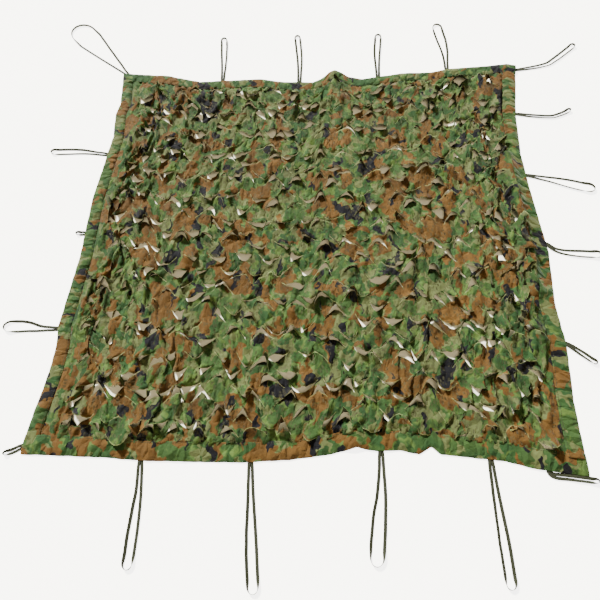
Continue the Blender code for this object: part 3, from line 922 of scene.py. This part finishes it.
def uneven_pull(opened):
    """How far the places of the cut cloth stray, so that it opens more here and less there."""
    stray = [rough(opened[:, 0], opened[:, 1], STRAY_SIZE, seed) for seed in (21.0, 34.0)]
    return STRAY * np.column_stack(stray)


def add_ground():
    """A rough surface for the simulation, on which the cloth slides little."""
    bpy.ops.mesh.primitive_plane_add(size=3.0)
    ground = bpy.context.object
    ground.modifiers.new("ground", "COLLISION")
    ground.collision.thickness_outer = 0.001
    ground.collision.cloth_friction = 5.0
    return ground


def set_cloth(cloth):
    """Thin, dry woven cloth that bends easily and hardly stretches."""
    for name, value in {
        "vertex_group_mass": "held",
        "quality": 4,
        "mass": 0.02,
        "air_damping": 3.0,
        "tension_stiffness": 25.0,
        "compression_stiffness": 25.0,
        "shear_stiffness": 15.0,
        "bending_stiffness": 0.4,
        "tension_damping": 8.0,
        "compression_damping": 8.0,
        "shear_damping": 8.0,
        "bending_damping": 1.0,
    }.items():
        setattr(cloth.settings, name, value)
    cloth.collision_settings.distance_min = 0.002
    cloth.collision_settings.collision_quality = 1


def pull_open(flat, heights, opened, quads, border):
    """Where the cut cloth lies once its border is pulled out to full size over the ground."""
    bpy.ops.object.select_all(action="DESELECT")
    mesh = bpy.data.meshes.new("cut_sheet")
    mesh.from_pydata(np.column_stack([flat, heights]).tolist(), [], quads.tolist())
    sheet = bpy.data.objects.new("cut_sheet", mesh)
    bpy.context.collection.objects.link(sheet)
    sheet.vertex_groups.new(name="held").add(np.flatnonzero(border).tolist(), 1.0, "REPLACE")
    sheet.shape_key_add(name="cut")
    pulled = sheet.shape_key_add(name="pulled")
    target = np.column_stack([opened, np.where(border, BORDER_HEIGHT, heights)])
    pulled.data.foreach_set("co", target.ravel().astype(np.float32))
    ground = add_ground()
    set_cloth(sheet.modifiers.new("cloth", "CLOTH"))

    scene = bpy.context.scene
    for frame_number, share in ((1, 0.0), (PULL_FRAMES, 1.0)):
        pulled.value = share
        pulled.keyframe_insert("value", frame=frame_number)
    for frame_number in range(1, PULL_FRAMES + SETTLE_FRAMES + 1):
        scene.frame_set(frame_number)
    settled = sheet.evaluated_get(bpy.context.evaluated_depsgraph_get())
    points = np.empty(3 * len(flat), np.float32)
    settled.data.vertices.foreach_get("co", points)
    bpy.data.objects.remove(sheet)
    bpy.data.objects.remove(ground)
    scene.frame_set(1)
    return points.reshape(-1, 3).astype(float)


def make_net(sizes, material):
    opened, curls, marks, quads = cut_sheet(sizes)
    flat = opened * (NARROWED, 1 / OPENED) + uneven_pull(opened)
    heights = crumpled(flat[:, 0], flat[:, 1]) + curls
    border = np.max(np.abs(opened), axis=1) > SEAM - 1e-6
    points = pull_open(flat, heights, opened, quads, border)
    x, y = place(points[:, 0], points[:, 1])
    height = np.maximum(points[:, 2], LOWEST) + fold_height(x, y)
    over = np.maximum(height - (TOP - FLATTENED_OVER), 0.0)
    height = np.minimum(height, TOP - FLATTENED_OVER)
    height += FLATTENED_OVER * np.tanh(over / FLATTENED_OVER)
    points = np.column_stack([x, y, height])
    piece = cloth_object("leaf_cloth", points, quads, sizes.cloth_thickness, flat, marks)
    piece.data.materials.append(material)
    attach(piece, BODY)
    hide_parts("net")


# The stage

TABLE_SIZE = 40
TABLE_HEIGHT = -0.0006  # top of the light table
TABLE_GLOW = 4.5
BACKING_HEIGHT = -0.0003  # top of the paper between the table and the net
BACKING = 0.975  # half the side of that paper
BACKING_POINTS = 60  # along one side of it
LENS, SENSOR = 36.293, 36.0  # in millimetres
CAMERA_PLACE = (0.1856, -1.5205, 2.1339)
CAMERA_TURN = (0.50672, 0.06583, 0.04742)
# Each lamp: where it shines from, how wide it looks, its strength and its colour
LAMPS = {
    "key_light": ((-1.7, 2.5, 2.5), 0.17, 14.4, "#FFFFFF"),
    "fill_light": ((0.6, -2.0, 2.9), 0.5, 1.6, "#FFEACA"),
}


def backing_sheet():
    """A flat sheet under the net, cut a little inside its outline."""
    steps = np.linspace(-BACKING, BACKING, BACKING_POINTS)[:-1]
    edge = np.full(len(steps), BACKING)
    sides = (steps, -edge), (edge, steps), (-steps, edge), (-edge, -steps)
    x, y = place(*np.concatenate([np.column_stack(side) for side in sides]).T)
    mesh = bpy.data.meshes.new("backing_sheet")
    points = np.column_stack([x, y, np.full(len(x), BACKING_HEIGHT)])
    mesh.from_pydata(points.tolist(), [], [list(range(len(points)))])
    sheet = bpy.data.objects.new("backing_sheet", mesh)
    bpy.context.collection.objects.link(sheet)
    return sheet


def add_floor(colours):
    bpy.ops.object.select_all(action="DESELECT")
    bpy.ops.mesh.primitive_plane_add(size=TABLE_SIZE, location=(0, 0, TABLE_HEIGHT))
    table = bpy.context.object
    table.name = "floor"
    # Cast opal acrylic, evenly lit from below, so it shows as white without shadows
    opal = plain_surface("cast_opal_acrylic", colours.floor, TABLE_GLOW)
    table.data.materials.append(opal)
    # Coated paper, smooth and matt: it keeps that light from the openings in the net
    backing = backing_sheet()
    backing.data.materials.append(plain_surface("coated_paper", colours.floor, 0.0))


def add_studio(scene):
    """Walls that are bright near the ground and dim overhead."""
    world = bpy.data.worlds.new("studio")
    world.use_nodes = True
    background = world.node_tree.nodes["Background"]
    background.inputs["Color"].default_value = (*linear("#FCF7E2"), 1.0)
    towards = add_node(world.node_tree, "ShaderNodeTexCoord").outputs["Generated"]
    parts = add_node(world.node_tree, "ShaderNodeSeparateXYZ", links={0: towards})
    strength = add_node(
        world.node_tree, "ShaderNodeMapRange", links={"Value": parts.outputs[2]},
        values={"From Min": 0.02, "From Max": 0.35, "To Min": 2.2, "To Max": 0.24},
        interpolation_type="SMOOTHSTEP",
    )
    world.node_tree.links.new(strength.outputs[0], background.inputs["Strength"])
    scene.world = world


def add_lamps(collection):
    for name, (shines_from, spread, energy, hex_colour) in LAMPS.items():
        lamp = bpy.data.lights.new(name, "SUN")
        lamp.angle = spread
        lamp.energy = energy
        lamp.color = linear(hex_colour)
        light = bpy.data.objects.new(name, lamp)
        light.location = shines_from
        light.rotation_euler = (-Vector(shines_from)).to_track_quat("-Z", "Y").to_euler()
        collection.objects.link(light)


def add_camera(scene, collection):
    lens = bpy.data.cameras.new("camera")
    lens.lens = LENS
    lens.sensor_width = SENSOR
    camera = bpy.data.objects.new("camera", lens)
    camera.location = CAMERA_PLACE
    camera.rotation_euler = CAMERA_TURN
    collection.objects.link(camera)
    scene.camera = camera


# Operators


class AddStage(bpy.types.Operator):
    """Adds the light table, the paper under the net, the walls, the lamps and the camera"""

    bl_idname = "camouflage_net.add_stage"
    bl_label = "Add stage"

    def execute(self, context):
        add_floor(context.scene.net_colours)
        add_studio(context.scene)
        add_lamps(context.collection)
        add_camera(context.scene, context.collection)
        return {"FINISHED"}


class AddTies(bpy.types.Operator):
    """Adds the doubled tape ties around the net"""

    bl_idname = "camouflage_net.add_ties"
    bl_label = "Add ties"

    def execute(self, context):
        tape = woven_tape(context.scene.net_colours)
        for tie in TIES:
            make_tie(tie, context.scene.net_sizes, tape)
        return {"FINISHED"}


class AddBinding(bpy.types.Operator):
    """Adds the four gathered strips that bind the net's edges"""

    bl_idname = "camouflage_net.add_binding"
    bl_label = "Add binding"

    def execute(self, context):
        colours = context.scene.net_colours
        cloth = printed_polyester("printed_polyester_binding", colours, 1.2, stitched=True)
        for strip in STRIPS:
            make_binding(strip, context.scene.net_sizes, cloth)
        return {"FINISHED"}


class AddNet(bpy.types.Operator):
    """Adds the leaf-cut cloth"""

    bl_idname = "camouflage_net.add_net"
    bl_label = "Add leaf-cut cloth"

    def execute(self, context):
        cloth = printed_polyester("printed_polyester_leaves", context.scene.net_colours, 0.4)
        make_net(context.scene.net_sizes, cloth)
        return {"FINISHED"}


class NetPanel(bpy.types.Panel):
    bl_idname = "VIEW3D_PT_camouflage_net"
    bl_label = "Camouflage net"
    bl_space_type = "VIEW_3D"
    bl_region_type = "UI"
    bl_category = "Camouflage net"

    def draw(self, context):
        for group in (context.scene.net_sizes, context.scene.net_colours):
            box = self.layout.box()
            for name in type(group).__annotations__:
                box.prop(group, name)
        for operator in OPERATORS:
            self.layout.operator(operator.bl_idname)


OPERATORS = (AddStage, AddTies, AddBinding, AddNet)
CLASSES = (NetSizes, NetColours, *OPERATORS, NetPanel)


def register():
    for cls in CLASSES:
        bpy.utils.register_class(cls)
    bpy.types.Scene.net_sizes = PointerProperty(type=NetSizes)
    bpy.types.Scene.net_colours = PointerProperty(type=NetColours)


def unregister():
    del bpy.types.Scene.net_colours
    del bpy.types.Scene.net_sizes
    for cls in reversed(CLASSES):
        bpy.utils.unregister_class(cls)


def main():
    register()
    bpy.ops.camouflage_net.add_stage()
    bpy.ops.camouflage_net.add_ties()
    bpy.ops.camouflage_net.add_binding()
    bpy.ops.camouflage_net.add_net()


if __name__ == "__main__":
    main()
